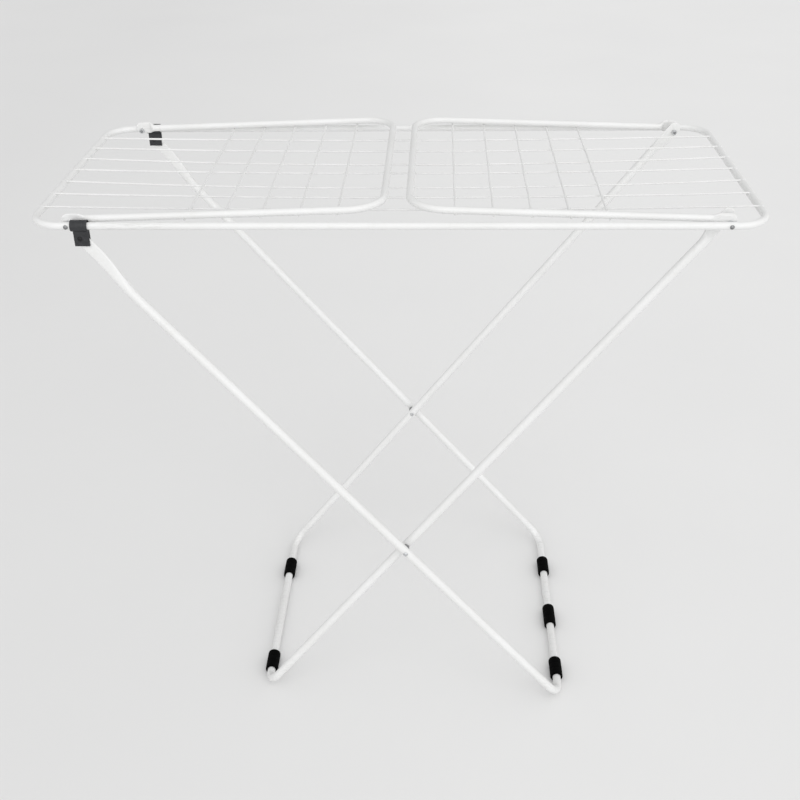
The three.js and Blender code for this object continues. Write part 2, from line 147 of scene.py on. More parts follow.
class Nodes:
    """A short way to write a material's node tree."""

    def __init__(self, name):
        self.material = bpy.data.materials.new(name)
        self.material.use_nodes = True
        self.tree = self.material.node_tree
        self.shader = self.tree.nodes["Principled BSDF"]
        self.coords = self.add("ShaderNodeTexCoord").outputs["Object"]

    def add(self, kind, **settings):
        node = self.tree.nodes.new(kind)
        for key, value in settings.items():
            setattr(node, key, value)
        return node

    def link(self, source, target):
        if isinstance(source, bpy.types.NodeSocket):
            self.tree.links.new(source, target)
        else:
            target.default_value = source

    def noise(self, scale, detail=3, roughness=0.5, stretch=None):
        vector = self.coords
        if stretch:
            mapping = self.add("ShaderNodeMapping")
            mapping.inputs["Scale"].default_value = stretch
            self.link(self.coords, mapping.inputs["Vector"])
            vector = mapping.outputs["Vector"]
        node = self.add("ShaderNodeTexNoise")
        self.link(vector, node.inputs["Vector"])
        node.inputs["Scale"].default_value = scale
        node.inputs["Detail"].default_value = detail
        node.inputs["Roughness"].default_value = roughness
        return node.outputs["Fac"]

    def remap(self, value, low, high, to_low=0.0, to_high=1.0):
        node = self.add("ShaderNodeMapRange")
        self.link(value, node.inputs["Value"])
        limits = {"From Min": low, "From Max": high, "To Min": to_low, "To Max": to_high}
        for key, number in limits.items():
            node.inputs[key].default_value = number
        return node.outputs["Result"]

    def math(self, operation, first, second=0.0):
        node = self.add("ShaderNodeMath", operation=operation)
        self.link(first, node.inputs[0])
        self.link(second, node.inputs[1])
        return node.outputs["Value"]

    def mix(self, factor, first, second):
        node = self.add("ShaderNodeMix", data_type="RGBA")
        self.link(factor, node.inputs[MIX_FACTOR])
        self.link(first, node.inputs[MIX_FIRST])
        self.link(second, node.inputs[MIX_SECOND])
        return node.outputs[MIX_RESULT]

    def axis(self, index):
        node = self.add("ShaderNodeSeparateXYZ")
        self.link(self.coords, node.inputs[0])
        return node.outputs[index]

    def band(self, value, low, high, soft):
        """1 between low and high, fading to 0 over `soft` outside them."""
        rising = self.remap(value, low - soft, low)
        falling = self.remap(value, high, high + soft, 1.0, 0.0)
        return self.math("MULTIPLY", rising, falling)

    def bump(self, height, strength, distance, under=None):
        node = self.add("ShaderNodeBump")
        node.inputs["Strength"].default_value = strength
        node.inputs["Distance"].default_value = distance
        self.link(height, node.inputs["Height"])
        if under is not None:
            self.link(under, node.inputs["Normal"])
        return node.outputs["Normal"]

    def finish(self, color, rough, normal, metallic=0.0, **uniform):
        self.link(color, self.shader.inputs["Base Color"])
        self.link(rough, self.shader.inputs["Roughness"])
        self.link(normal, self.shader.inputs["Normal"])
        self.shader.inputs["Metallic"].default_value = metallic
        for key, value in uniform.items():
            self.shader.inputs[key.replace("_", " ")].default_value = value
        return self.material


def rgb(r, g, b):
    return (r, g, b, 1.0)


def powder_coat(name, worn, fine=1.0):
    """White powder coat: orange peel, faint mottling, dust and chips, and scuffs where `worn` says."""
    n = Nodes(name)
    mottled = n.mix(n.remap(n.noise(9, 4), 0.35, 0.7), rgb(0.778, 0.780, 0.777), rgb(0.742, 0.743, 0.735))
    dusty = n.mix(n.remap(n.noise(55, 5, 0.62), 0.56, 0.8, 0.0, 0.35), mottled, rgb(0.66, 0.65, 0.62))
    specks = n.remap(n.noise(900, 2, 0.6), 0.765, 0.80)
    color = n.mix(n.math("MULTIPLY", specks, 0.5), dusty, rgb(0.42, 0.42, 0.41))
    rough = n.remap(n.noise(40, 4, 0.6), 0.3, 0.72, 0.30, 0.46)
    mask = worn(n)
    streaks = n.remap(n.noise(120, 5, 0.7, (0.25, 3.0, 3.0)), 0.50, 0.66)
    scuff = n.math("MULTIPLY", mask, streaks)
    color = n.mix(n.math("MULTIPLY", scuff, 0.45), color, rgb(0.50, 0.50, 0.49))
    rough = n.math("ADD", rough, n.math("MULTIPLY", scuff, 0.22))
    peel = n.bump(n.noise(700 * fine, 2, 0.45), 0.14, 0.00025)
    dents = n.bump(n.noise(28, 2, 0.4), 0.10, 0.0012, peel)
    return n.finish(color, rough, dents, IOR=1.5, Coat_Weight=0.12, Coat_Roughness=0.22)


def sleeve_wear(n):
    """The part of the long rails that the clips slide over."""
    side = n.remap(n.math("ABSOLUTE", n.axis(1)), 0.247, 0.252)
    return n.math("MULTIPLY", n.band(n.axis(0), -0.478, -0.36, 0.03), side)


def floor_wear(n):
    """Scuffs low on the legs."""
    return n.remap(n.axis(2), 0.02, 0.11, 1.0, 0.0)


def laundry_wear(n):
    """Light rubbing all along the wires."""
    return n.remap(n.noise(14, 3), 0.45, 0.7, 0.0, 0.7)


def hinge_wear(n):
    """Rubbing round the wings' hinges."""
    x = n.math("ABSOLUTE", n.axis(0))
    return n.band(x, 0.492, 0.54, 0.012)


def zinc(name, bright=rgb(0.66, 0.67, 0.68), dull=rgb(0.50, 0.51, 0.52)):
    """Zinc plate: dulled patches, turning marks and fine scratches."""
    n = Nodes(name)
    color = n.mix(n.remap(n.noise(420, 4, 0.6), 0.35, 0.7), bright, dull)
    stain = n.remap(n.noise(900, 3, 0.5), 0.62, 0.72, 0.0, 0.5)
    color = n.mix(stain, color, rgb(0.36, 0.34, 0.31))
    rough = n.remap(n.noise(1300, 4, 0.65), 0.3, 0.7, 0.24, 0.46)
    turned = n.bump(n.noise(2200, 3, 0.5, (1.0, 0.15, 1.0)), 0.18, 0.0001)
    return n.finish(color, rough, turned, metallic=0.95)


def blackened(name):
    """Black rivets: an oiled black finish, rubbed grey in specks."""
    n = Nodes(name)
    rubbed = n.remap(n.noise(1100, 4, 0.6), 0.60, 0.72, 0.0, 0.7)
    color = n.mix(rubbed, rgb(0.012, 0.012, 0.013), rgb(0.10, 0.10, 0.10))
    rough = n.remap(n.noise(1300, 3, 0.6), 0.3, 0.7, 0.35, 0.55)
    return n.finish(color, rough, n.bump(n.noise(2000, 3), 0.2, 0.0001), metallic=0.5)


def moulded_plastic(name, dark, light):
    """Moulded plastic: spark-eroded grain, flow mottling and pale scratches."""
    n = Nodes(name)
    color = n.mix(n.remap(n.noise(160, 4, 0.55), 0.35, 0.68), dark, light)
    scratches = n.remap(n.noise(500, 4, 0.7, (0.12, 2.0, 1.0)), 0.66, 0.73, 0.0, 0.6)
    color = n.mix(scratches, color, rgb(0.11, 0.112, 0.116))
    rough = n.remap(n.noise(300, 3, 0.5), 0.3, 0.7, 0.45, 0.62)
    grain = n.bump(n.noise(2600, 3, 0.6), 0.30, 0.00012)
    return n.finish(color, rough, grain, IOR=1.49)


def rubber(name):
    """Black rubber: soft sheen, a bloom of dust, and grey scuffing low down."""
    n = Nodes(name)
    bloom = n.remap(n.noise(260, 5, 0.65), 0.45, 0.75, 0.0, 0.6)
    color = n.mix(bloom, rgb(0.0008, 0.0008, 0.0008), rgb(0.003, 0.003, 0.003))
    low_down = n.remap(n.axis(2), 0.0005, 0.006, 1.0, 0.0)
    scuffs = n.math("MULTIPLY", low_down, n.remap(n.noise(700, 4), 0.4, 0.6))
    color = n.mix(scuffs, color, rgb(0.03, 0.029, 0.027))
    rough = n.remap(n.noise(600, 4, 0.6), 0.3, 0.7, 0.7, 0.9)
    grain = n.bump(n.noise(1800, 4, 0.6), 0.35, 0.00015)
    return n.finish(color, rough, grain, IOR=1.5, Specular_IOR_Level=0.05)


FINISH = {
    "frame": powder_coat("powder_coat_frame", sleeve_wear),
    "wing": powder_coat("powder_coat_wings", hinge_wear),
    "leg": powder_coat("powder_coat_legs", floor_wear),
    "wire": powder_coat("powder_coat_wires", laundry_wear, 1.5),
    "zinc": zinc("zinc_plate"),
    # Hinge bolt heads: the zinc's base colour is darkened to paint in the dark reflection of the
    # surroundings in the metal.
    "bolt": zinc("zinc_painted_dark_reflection", rgb(0.34, 0.345, 0.35), rgb(0.17, 0.172, 0.175)),
    "black": blackened("blackened_steel"),
    "plastic": moulded_plastic("dark_moulded_plastic", rgb(0.014, 0.015, 0.017), rgb(0.025, 0.026, 0.029)),
    "spacer": moulded_plastic("grey_moulded_plastic", rgb(0.20, 0.202, 0.206), rgb(0.28, 0.282, 0.285)),
    "rubber": rubber("black_rubber"),
}


# ---- Meshes ----
def add_piece(name, vertices, faces, finish, body, slot, replaced=(), sharp_deg=40):
    """A visible mesh that rides on `body`, in place of the `replaced` CAD nodes."""
    mesh = bpy.data.meshes.new(name)
    mesh.from_pydata([tuple(v) for v in vertices], [], faces)
    mesh.validate()
    mesh.update()
    mesh.shade_smooth()
    mesh.set_sharp_from_angle(angle=math.radians(sharp_deg))
    obj = bpy.data.objects.new(name, mesh)
    bpy.context.scene.collection.objects.link(obj)
    mesh.materials.append(FINISH[finish])
    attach(obj, body)
    if replaced:
        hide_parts(*replaced)


def smooth(t):
    t = min(max(t, 0.0), 1.0)
    return t * t * (3 - 2 * t)


def lerp(a, b, t):
    return a + (b - a) * t


def skin(rings, closed):
    """Joins rings of points into a loop, or into a bar with flat ends."""
    count = len(rings[0])
    vertices = [p for ring in rings for p in ring]
    faces = []
    for i in range(len(rings) if closed else len(rings) - 1):
        here, there = i * count, (i + 1) % len(rings) * count
        for j in range(count):
            k = (j + 1) % count
            faces.append((here + j, here + k, there + k, there + j))
    if not closed:
        last = (len(rings) - 1) * count
        faces.append(tuple(reversed(range(count))))
        faces.append(tuple(last + j for j in range(count)))
    return vertices, faces


def sweep(stations, sides, closed=False):
    """A tube along (point, half height, half width) stations; a thin section has rounded edges."""
    rings = []
    last = len(stations) - 1
    for i, (point, high, wide) in enumerate(stations):
        before = stations[(i - 1) % (last + 1) if closed else max(i - 1, 0)][0]
        after = stations[(i + 1) % (last + 1) if closed else min(i + 1, last)][0]
        along = (after - before).normalized()
        across = along.cross(UP).normalized()
        upright = across.cross(along).normalized()
        power = 0.6 + 0.4 * min(1.0, wide / high)
        ring = []
        for j in range(sides):
            turn = (j + 0.5) / sides * math.tau
            c, s = math.cos(turn), math.sin(turn)
            h = math.copysign(abs(c) ** power, c) * high
            w = math.copysign(abs(s) ** power, s) * wide
            ring.append(point + upright * h + across * w)
        rings.append(ring)
    return skin(rings, closed)


def between(start, end, steps):
    """Evenly spaced points from start to end, with both of them left out."""
    return [start.lerp(end, i / steps) for i in range(1, steps)]


def bend(cx, cy, radius, start_deg, end_deg, z):
    points = []
    for i in range(BEND_STEPS + 1):
        angle = math.radians(lerp(start_deg, end_deg, i / BEND_STEPS))
        points.append(Vector((cx + radius * math.cos(angle), cy + radius * math.sin(angle), z)))
    return points


def bent_u(reach, half_width, bend_radius, radius, tab, tab_offset, rise):
    """A U of tube with its arms' ends pressed flat; pivots at x = 0, end tube at x = reach."""
    thin = tab["thickness"] / 2
    centre = tab["radius"] - tab["beyond"]
    near = []

    def station(x, high, wide, roundness):
        y = -(half_width + tab_offset * (1 - roundness))
        near.append((Vector((x, y, lerp(tab["rise"], rise, roundness))), high, wide))

    for deg in (4, 9, 16, 24, 33, 43, 54, 66, 78):
        angle = math.radians(deg)
        rim = lerp(0.35, 1.0, math.sin(angle) ** 0.5)
        station(centre - tab["radius"] * math.cos(angle), tab["radius"] * math.sin(angle), thin * rim, 0)
    station(centre, tab["radius"], thin, 0)
    steps = 20
    for i in range(steps + 1):
        t = smooth(i / steps)
        x = tab["flat"] + tab["flare"] * i / steps
        station(x, lerp(tab["radius"], radius, t), lerp(thin, radius, t), t)
    corner = bend(reach - bend_radius, bend_radius - half_width, bend_radius, -90, 0, rise)
    near += [(point, radius, radius) for point in between(near[-1][0], corner[0], 10) + corner]
    far = [(Vector((p.x, -p.y, p.z)), high, wide) for p, high, wide in reversed(near)]
    return sweep(near + far, TUBE_SIDES)


def placed(shape, matrix):
    vertices, faces = shape
    return [matrix @ Vector(v) for v in vertices], faces


def lathe(profile, sides=ROUND_STEPS, closed=False):
    """Turns (radius, y) points round the Y axis, outside first. A closed profile is a ring."""
    rings = []
    for j in range(sides):
        turn = j / sides * math.tau
        rings.append([Vector((r * math.cos(turn), y, r * math.sin(turn))) for r, y in profile])
    count = len(profile)
    vertices, faces, seen = [], [], {}
    index = [[0] * count for _ in range(sides)]
    for j in range(sides):
        for i, point in enumerate(rings[j]):
            key = ("axis", i) if profile[i][0] < 1e-9 else (j, i)
            if key not in seen:
                seen[key] = len(vertices)
                vertices.append(point)
            index[j][i] = seen[key]
    for j in range(sides):
        k = (j + 1) % sides
        for i in range(count if closed else count - 1):
            m = (i + 1) % count
            loop = [index[j][i], index[j][m], index[k][m], index[k][i]]
            face = [v for n, v in enumerate(loop) if v not in loop[:n]]
            if len(face) > 2:
                faces.append(tuple(face))
    return vertices, faces


def rounded(points, radius, steps=4):
    """Rounds the corners of a closed (r, y) outline."""
    out = []
    count = len(points)
    for i, point in enumerate(points):
        here = Vector(point)
        before, after = Vector(points[i - 1]), Vector(points[(i + 1) % count])
        to_before, to_after = before - here, after - here
        size = min(radius, to_before.length * 0.45, to_after.length * 0.45)
        start, end = here + to_before.normalized() * size, here + to_after.normalized() * size
        for s in range(steps + 1):
            t = s / steps
            out.append(tuple(start * (1 - t) ** 2 + here * 2 * t * (1 - t) + end * t * t))
    return out


def mirrored(shape, side):
    """Turns a near-side piece half round the Z axis when it goes on the far side."""
    if side == "near":
        return shape
    return placed(shape, Matrix.Rotation(math.pi, 4, "Z"))


# ---- Top frame ----
def build_frame():
    low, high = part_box("main_frame_tube")
    x = high.x - CAD_RAIL_RADIUS - FRAME_BEND
    y = high.y - CAD_RAIL_RADIUS - FRAME_BEND
    z = (low.z + high.z) / 2
    path = []
    for cx, cy, start in ((x, y, 0), (-x, y, 90), (-x, -y, 180), (x, -y, 270)):
        corner = bend(cx, cy, FRAME_BEND, start, start + 90, z)
        if path:
            path += between(path[-1], corner[0], 24)
        path += corner
    path += between(path[-1], path[0], 12)
    shape = sweep([(p, RAIL_RADIUS, RAIL_RADIUS) for p in path], TUBE_SIDES, closed=True)
    add_piece("frame_tube", *shape, "frame", "main_frame", "frame_tube", ["main_frame_tube"])


def wire_ends(stations, radius):
    """Adds rounded, sheared ends to a wire's (point, radius, radius) stations."""
    first, last = stations[0][0], stations[-1][0]
    ahead = (stations[1][0] - first).normalized()
    behind = (stations[-2][0] - last).normalized()
    ends = [(0.0, 0.45), (0.18, 0.78), (0.45, 0.95)]
    head = [(first + ahead * radius * d, radius * k, radius * k) for d, k in ends]
    tail = [(last + behind * radius * d, radius * k, radius * k) for d, k in reversed(ends)]
    return head + stations[1:-1] + tail


def build_frame_wires():
    dip_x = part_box("main_frame_tube")[1].x - 2 * CAD_RAIL_RADIUS
    steps = 48
    for number in FRAME_WIRES:
        node = f"main_wire_{number}"
        low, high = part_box(node)
        top, bottom = high.z - CAD_WIRE_TOP, low.z + CAD_WIRE_TOP
        stations = []
        for i in range(steps + 1):
            x = lerp(low.x, high.x, i / steps)
            z = top - (top - bottom) * max(0.0, 1 - (x / dip_x) ** 2)
            waver = FRAME_WIRE_WAVER * math.sin(i * 0.55 + number * 2.1) * smooth(min(i, steps - i) / 6)
            stations.append((Vector((x, middle(node).y + waver, z)), WIRE_RADIUS, WIRE_RADIUS))
        shape = sweep(wire_ends(stations, WIRE_RADIUS), WIRE_SIDES)
        add_piece(f"frame_wire_{number}", *shape, "wire", "main_frame", "wire", [node])


def bead(centre, along, across, size, seed):
    """One weld bead: a low mound with an uneven edge, coated over."""
    normal = along.cross(across)
    rings, sides, levels = [], 16, 5
    vertices, faces = [], []
    for level in range(levels):
        climb = level / levels * math.pi / 2
        spread = math.cos(climb) ** 0.7
        for j in range(sides):
            c, s = math.cos(j / sides * math.tau), math.sin(j / sides * math.tau)
            ragged = spread * (1 + 0.10 * noise.noise(Vector((c * 1.7, s * 1.7, seed * 3.3))))
            point = centre + along * (ragged * size.x * c) + across * (ragged * size.y * s)
            vertices.append(point + normal * (size.z * math.sin(climb)))
        rings.append(range(level * sides, (level + 1) * sides))
    vertices.append(centre + normal * size.z)
    tip = len(vertices) - 1
    for lower, upper in zip(rings, rings[1:]):
        for j in range(sides):
            k = (j + 1) % sides
            faces.append((lower[j], lower[k], upper[k], upper[j]))
    for j in range(sides):
        faces.append((rings[-1][j], rings[-1][(j + 1) % sides], tip))
    faces.append(tuple(reversed(rings[0])))
    return vertices, faces


def joined(shapes):
    """Several (vertices, faces) shapes as one."""
    vertices, faces = [], []
    for more, loops in shapes:
        base = len(vertices)
        vertices += more
        faces += [tuple(base + v for v in loop) for loop in loops]
    return vertices, faces


def build_frame_welds():
    """A fillet of coated weld metal on each side of every wire, where it crosses an end rail."""
    shapes = []
    rail_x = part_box("main_frame_tube")[1].x - CAD_RAIL_RADIUS
    z = middle("main_frame_tube").z + RAIL_RADIUS
    for number in FRAME_WIRES:
        y = middle(f"main_wire_{number}").y
        for way in (-1, 1):
            centre = Vector((way * rail_x, y, z - FRAME_WELD_SINK))
            seed = number + way * 9
            shapes.append(bead(centre, Vector((1, 0, 0)), Vector((0, 1, 0)), FRAME_WELD, seed))
    add_piece("frame_welds", *joined(shapes), "wire", "main_frame", "wire")


# ---- Wings ----
def wing_placement(side):
    """The folded wing's own frame, from its hinge and its first and last wires."""
    pivot = joint_point(f"{side}_wing_hinge")
    first, last = middle(f"{side}_wing_wire_1"), middle(f"{side}_wing_wire_5")
    slope = math.atan2(last.z - first.z, abs(last.x - first.x))
    turn = Matrix.Rotation(0 if side == "left" else math.pi, 4, "Z")
    return Matrix.Translation(pivot) @ turn @ Matrix.Rotation(-slope, 4, "Y"), slope, pivot


def build_wing(side):
    matrix, slope, pivot = wing_placement(side)
    body, node = f"{side}_wing", f"{side}_wing_tube"
    low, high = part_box(node)
    tip_x = (high.x if side == "left" else -low.x) - CAD_RAIL_RADIUS
    reach = (tip_x + abs(pivot.x) + WING_RISE * math.sin(slope)) / math.cos(slope)
    tab_y = high.y - WING_TAB["thickness"] / 2
    half_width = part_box("main_frame_tube")[1].y - CAD_RAIL_RADIUS - WING_INSET
    shape = bent_u(reach, half_width, WING_BEND, RAIL_RADIUS, WING_TAB, tab_y - half_width, WING_RISE)
    add_piece(f"{side}_wing_bow", *placed(shape, matrix), "wing", body, "wing_tube", [node])
    under = (matrix.to_3x3() @ Vector((0, 0, -1))).normalized()
    across = Vector((0, 1, 0))
    along = across.cross(under)
    steps = 30
    welds = []
    for number in WING_WIRES:
        wire = f"{side}_wing_wire_{number}"
        low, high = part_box(wire)
        centre = middle(wire)
        stations = []
        for i in range(steps + 1):
            y = lerp(low.y, high.y, i / steps)
            waver = WING_WIRE_WAVER * math.sin(i * 0.7 + number) * smooth(min(i, steps - i) / 5)
            stations.append((Vector((centre.x + waver, y, centre.z)), WIRE_RADIUS, WIRE_RADIUS))
        shape = sweep(wire_ends(stations, WIRE_RADIUS), WIRE_SIDES)
        add_piece(f"{side}_wing_rod_{number}", *shape, "wire", body, "wire", [wire])
        for way in (-1, 1):
            spot = Vector((centre.x, way * half_width, centre.z)) - under * WING_WELD_SINK
            welds.append(bead(spot, along, across, WING_WELD, number * way))
    add_piece(f"{side}_wing_welds", *joined(welds), "wire", body, "wire")


# ---- Legs ----
def build_leg(name, top, half_width, tab_y, tab, rise, pads):
    pad_low, pad_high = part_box(pads[0])
    pad_radius = (pad_high.x - pad_low.x) / 2
    foot = Vector(((pad_low.x + pad_high.x) / 2, 0, pad_high.z - pad_radius))
    dx, dz = foot.x - top.x, foot.z - top.z
    angle = math.atan2(-dz, dx) + math.asin(rise / math.hypot(dx, dz))
    matrix = Matrix.Translation(Vector((top.x, 0, top.z))) @ Matrix.Rotation(angle, 4, "Y")
    reach = (matrix.inverted() @ foot).x
    shape = bent_u(reach, half_width, LEG_BEND, LEG_RADIUS, tab, tab_y - half_width, rise)
    body, node = f"{name}_leg", f"{name}_leg_tube"
    add_piece(f"{name}_leg_bow", *placed(shape, matrix), "leg", body, "leg_tube", [node])
    for number, pad in enumerate(pads, 1):
        build_pad(f"{name}_leg_foot_{number}", pad, foot, pad_radius, body)


def build_pad(name, node, foot, radius, body):
    """A moulded rubber sleeve: beads at its ends, two shallow grooves, a worn flat on the floor."""
    low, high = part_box(node)
    half = (high.y - low.y) / 2
    outline = [(PAD_BORE, -half + 0.6 * MM), (PAD_BORE + 0.8 * MM, -half), (radius - 1.6 * MM, -half)]
    outline += [(radius - 0.35 * MM, -half + 1.2 * MM), (radius, -half + 2.6 * MM)]
    for groove in (-0.28, 0.28):
        y = groove * half
        outline += [(radius, y - 0.9 * MM), (radius - 0.55 * MM, y - 0.35 * MM)]
        outline += [(radius - 0.55 * MM, y + 0.35 * MM), (radius, y + 0.9 * MM)]
    outline += [(radius, half - 2.6 * MM), (radius - 0.35 * MM, half - 1.2 * MM)]
    outline += [(radius - 1.6 * MM, half), (PAD_BORE + 0.8 * MM, half), (PAD_BORE, half - 0.6 * MM)]
    vertices, faces = lathe(rounded(outline, 0.5 * MM, 2), 64, closed=True)
    centre = Vector((foot.x, (low.y + high.y) / 2, foot.z))
    vertices = [v + centre for v in vertices]
    for v in vertices:
        v.z = max(v.z, FLOOR_CLEARANCE)
    add_piece(name, vertices, flipped(faces), "rubber", body, "foot_rubber", [node], 50)


def flipped(faces):
    return [tuple(reversed(face)) for face in faces]


# ---- Clips ----
def solid_object(vertices, faces):
    mesh = bpy.data.meshes.new("scratch")
    mesh.from_pydata([tuple(v) for v in vertices], [], faces)
    mesh.update()
    obj = bpy.data.objects.new("scratch", mesh)
    bpy.context.scene.collection.objects.link(obj)
    return obj


def prism(outline, axis, low, high):
    """A closed outline in the plane across `axis` ('X' or 'Y'), drawn out from low to high."""
    def at(u, v, depth):
        return Vector((depth, u, v)) if axis == "X" else Vector((u, depth, v))
    count = len(outline)
    vertices = [at(u, v, low) for u, v in outline] + [at(u, v, high) for u, v in outline]
    faces = [tuple(reversed(range(count))), tuple(range(count, 2 * count))]
    for j in range(count):
        k = (j + 1) % count
        faces.append((j, k, count + k, count + j))
    if axis == "Y":
        faces = flipped(faces)
    return vertices, faces


def circle(u, v, radius, steps=64):
    turns = [i / steps * math.tau for i in range(steps)]
    return [(u + radius * math.cos(turn), v + radius * math.sin(turn)) for turn in turns]


def bake(obj):
    """Applies the object's modifiers."""
    graph = bpy.context.evaluated_depsgraph_get()
    mesh = bpy.data.meshes.new_from_object(obj.evaluated_get(graph))
    obj.modifiers.clear()
    obj.data = mesh


def cut(obj, outline, axis, reach):
    """Takes a prism of the outline out of the object, from -reach to reach along `axis`."""
    cutter = solid_object(*prism(outline, axis, -reach, reach))
    modifier = obj.modifiers.new("cut", "BOOLEAN")
    modifier.object = cutter
    modifier.operation = "DIFFERENCE"
    modifier.solver = "EXACT"
    bake(obj)
    bpy.data.objects.remove(cutter)


def build_clip(side):
    """The moulded sleeve round the rail, with the forked tab that the leg's flat end is riveted in."""
    node = f"{side}_clip"
    low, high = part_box(node)
    outer = CLIP_OUTER
    length = high.x - low.x
    centre = Vector(((low.x + high.x) / 2, (low.y + high.y) / 2, high.z - outer))
    bottom = low.z - centre.z
    below = bottom - CUT_PAST
    shoulder = math.asin(CLIP_TAB_HALF / outer)
    outline = [(-CLIP_TAB_HALF, bottom), (CLIP_TAB_HALF, bottom)]
    steps = 72
    for i in range(steps + 1):
        angle = lerp(shoulder - math.pi / 2, 1.5 * math.pi - shoulder, i / steps)
        outline.append((outer * math.cos(angle), outer * math.sin(angle)))
    body = solid_object(*prism(outline, "X", -length / 2, length / 2))
    cut(body, circle(0, 0, CLIP_BORE), "X", length)
    half, top = CLIP_SLOT_HALF, -outer - CLIP_SLOT_ROOF
    cut(body, [(-half, below), (half, below), (half, top), (-half, top)], "X", length)
    edge, outside = length / 2 - CLIP_TAB_WIDTH, -length / 2 - CUT_PAST
    top = -outer + CLIP_SHOULDER
    cut(body, [(edge, top), (outside, top), (outside, below), (edge, below)], "Y", CUT_HALF)
    thumb = circle(length / 2 + CLIP_THUMB_CENTRE, 0, CLIP_THUMB_RADIUS, 96)
    cut(body, thumb[::-1], "Y", CUT_HALF)
    rivet = joint_point(f"{side}_clip_turn") - centre
    cut(body, circle(rivet.x, rivet.z, CLIP_HOLE_RADIUS)[::-1], "Y", CUT_HALF)
    remesh = body.modifiers.new("remesh", "REMESH")
    remesh.mode = "VOXEL"
    remesh.voxel_size = CLIP_VOXEL
    relax = body.modifiers.new("relax", "SMOOTH")
    relax.factor = 0.5
    relax.iterations = CLIP_RELAX_STEPS
    bake(body)
    vertices = [v.co + centre for v in body.data.vertices]
    faces = [tuple(p.vertices) for p in body.data.polygons]
    bpy.data.objects.remove(body)
    add_piece(f"{side}_sleeve_clip", vertices, faces, "plastic", node, "clip_plastic", [node], 60)


# ---- Bolts, rivets, washers, nuts and spacers ----
def headed_pin(length, head_radius, head_height, tail_radius, tail_height, hollow):
    """A domed head outside, at -Y, then the shank and a formed tail, running inboard from y = 0."""
    profile = [(0, -head_height)]
    steps = 10
    for i in range(1, steps):
        angle = i / steps * math.pi / 2
        profile.append((head_radius * math.sin(angle), -head_height * math.cos(angle) ** 1.15))
    profile += [(head_radius, -0.12 * head_height), (head_radius * 0.985, 0)]
    profile += [(SHANK_RADIUS, 0), (SHANK_RADIUS, length)]
    if tail_radius > SHANK_RADIUS:
        rim = ((0.97, 0), (1, 0.3), (0.93, 0.75), (0.78, 1))
        profile += [(tail_radius * wide, length + tail_height * far) for wide, far in rim]
    else:
        profile += [(SHANK_RADIUS * 0.8, length + tail_height)]
    if hollow:
        profile += [(hollow, length + tail_height * 0.9), (hollow * 0.92, length - 1.5 * MM)]
        profile += [(0, length - 1.7 * MM)]
    else:
        profile += [(0, length + tail_height)]
    return lathe(profile)


def add_small(name, shape, point, side, finish, body, slot, node, sharp_deg=42):
    vertices, faces = mirrored(shape, side)
    vertices = [v + point for v in vertices]
    add_piece(name, vertices, flipped(faces), finish, body, slot, [node], sharp_deg)


def add_pin(name, sizes, side, finish, body, slot, node):
    """A headed pin as long as its CAD node."""
    low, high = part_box(node)
    length = high.y - low.y - sizes["head_height"] - sizes["tail_height"]
    way = -1 if side == "near" else 1
    outside = high.y if way > 0 else -low.y
    point = Vector((middle(node).x, way * (outside - sizes["head_height"]), middle(node).z))
    add_small(name, headed_pin(length, **sizes), point, side, finish, body, slot, node)


def ring_shape(node, bore, edge):
    """A washer or sleeve the size of its CAD node, with rounded edges."""
    low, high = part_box(node)
    radius, half = (high.x - low.x) / 2, (high.y - low.y) / 2
    outline = [(bore, -half), (radius, -half), (radius, half), (bore, half)]
    return lathe(rounded(outline, edge), closed=True)


def nut_shape(node):
    """A hexagon nut with chamfered corners."""
    low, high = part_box(node)
    corner, half = (high.x - low.x) / 2, (high.y - low.y) / 2
    flat = corner * math.cos(math.pi / 6)
    chamfer = flat * 1.04
    corner_edge = 0.15 * MM
    rings = []
    sides = 72
    for j in range(sides):
        turn = j / sides * math.tau
        hexagon = flat / math.cos((turn % (math.pi / 3)) - math.pi / 6)
        drop = max(0.0, hexagon - chamfer) * 0.6
        face = min(hexagon, chamfer)
        ring = [(NUT_BORE, -half), (face, -half), (hexagon, -half + drop + corner_edge)]
        ring += [(hexagon, half - drop - corner_edge), (face, half), (NUT_BORE, half)]
        rings.append([Vector((r * math.cos(turn), y, r * math.sin(turn))) for r, y in ring])
    return skin(rings, closed=True)


def build_hardware():
    for side in ("near", "far"):
        for wing in ("left", "right"):
            node = f"{side}_{wing}_wing_bolt"
            name = f"{side}_{wing}_hinge"
            add_pin(f"{name}_bolt", HINGE_BOLT, side, "bolt", "main_frame", "zinc_hardware", node)
            node = f"{side}_{wing}_wing_washer"
            add_small(f"{name}_washer", ring_shape(node, WASHER_BORE, WASHER_EDGE), middle(node), side,
                      "zinc", "main_frame", "zinc_hardware", node)
            node = f"{side}_{wing}_wing_nut"
            add_small(f"{name}_nut", nut_shape(node), middle(node), side,
                      "zinc", "main_frame", "zinc_hardware", node, 28)
        node = f"{side}_right_hinge_spacer"
        add_small(f"{side}_hinge_sleeve", ring_shape(node, WASHER_BORE, WASHER_EDGE), middle(node), side,
                  "zinc", "main_frame", "zinc_hardware", node)
        node = f"{side}_crossing_rivet"
        add_pin(f"{side}_leg_rivet", LEG_RIVET, side, "zinc", "inner_leg", "zinc_hardware", node)
        node = f"{side}_crossing_spacer"
        add_small(f"{side}_leg_spacer", ring_shape(node, SPACER_BORE, SPACER_EDGE), middle(node), side,
                  "spacer", "inner_leg", "spacer_plastic", node)
        node = f"{side}_clip_rivet"
        add_pin(f"{side}_tab_rivet", TAB_RIVET, side, "black", f"{side}_clip", "black_rivet", node)


